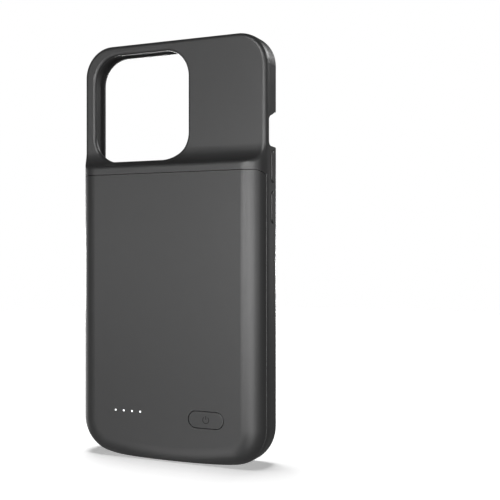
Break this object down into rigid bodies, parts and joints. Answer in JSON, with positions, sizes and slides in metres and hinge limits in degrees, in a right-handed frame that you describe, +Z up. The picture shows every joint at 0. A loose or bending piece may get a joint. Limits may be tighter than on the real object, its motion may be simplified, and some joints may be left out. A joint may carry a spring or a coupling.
{
  "type": "battery charging case",
  "caption": "Phone battery case: soft open-front frame with a camera cut-out, a rounded battery bulge behind, a charge button with indicator lamps, side key covers and an inner plug.",
  "frame": {"origin": "centre of the case's width and depth, on the surface that its bottom end stands on", "axes": "+Z up the case's length, +Y from the battery's back to the open front, +X to the right seen from behind"},
  "size_m": [0.0768, 0.0152, 0.154],
  "materials": {
    "soft_frame": "soft matt with a fine grain",
    "cover_shell": "soft-touch matt coating",
    "tray_shell": "fine matt",
    "button_cap": "soft-touch matt coating",
    "key_cover": "soft matt",
    "pad_rubber": "matt",
    "insulator": "moulded matt",
    "plated_steel": "nickel plated",
    "screw_steel": "dark zinc plated",
    "lamp_lens": "clear lens, lit white",
    "clear_guide": "clear moulded",
    "circuit_board": "solder mask",
    "chip_resin": "moulded resin",
    "ferrite": "pressed powder",
    "capacitor_body": "fired ceramic",
    "cell_foil": "laminated pouch foil",
    "tape": "adhesive film",
    "tab_metal": "nickel strip",
    "lead_jacket": "smooth jacket",
    "ribbon_film": "amber film",
    "contact_gold": "gold plated"
  },
  "bodies": {
    "case": {"bumper_frame": "soft_frame", "back_cover": "cover_shell", "inner_tray": "tray_shell", "switch_body": "plated_steel", "indicator_lamps": "lamp_lens", "light_guide": "clear_guide", "main_board": "circuit_board", "board_screws": "screw_steel", "controller_chip": "chip_resin", "boost_inductor": "ferrite", "board_capacitors": "capacitor_body", "battery_cell": "cell_foil", "battery_tape": "tape", "protection_board": "circuit_board", "battery_tabs": "tab_metal", "battery_leads": "lead_jacket", "plug_blade": "plated_steel", "plug_contacts": "contact_gold", "plug_base": "insulator", "plug_board": "circuit_board", "plug_flex": "ribbon_film", "port_shell": "plated_steel", "port_tongue": "insulator", "port_contacts": "contact_gold"},
    "charge_button": {"power_button": "button_cap", "button_pad": "pad_rubber", "switch_plunger": "insulator"},
    "volume_up_key": {"volume_up_button": "key_cover"},
    "volume_down_key": {"volume_down_button": "key_cover"},
    "side_key": {"side_button": "key_cover"}
  },
  "joints": [
    {"name": "charge_press", "type": "slide", "parent": "case", "child": "charge_button", "axis": [0, 1, 0], "range_m": [0, 0.00035], "stiffness_N_per_m": 2000},
    {"name": "volume_up_press", "type": "slide", "parent": "case", "child": "volume_up_key", "axis": [-1, 0, 0], "range_m": [0, 0.00035], "stiffness_N_per_m": 1500},
    {"name": "volume_down_press", "type": "slide", "parent": "case", "child": "volume_down_key", "axis": [-1, 0, 0], "range_m": [0, 0.00035], "stiffness_N_per_m": 1500},
    {"name": "side_press", "type": "slide", "parent": "case", "child": "side_key", "axis": [1, 0, 0], "range_m": [0, 0.00035], "stiffness_N_per_m": 1500}
  ]
}
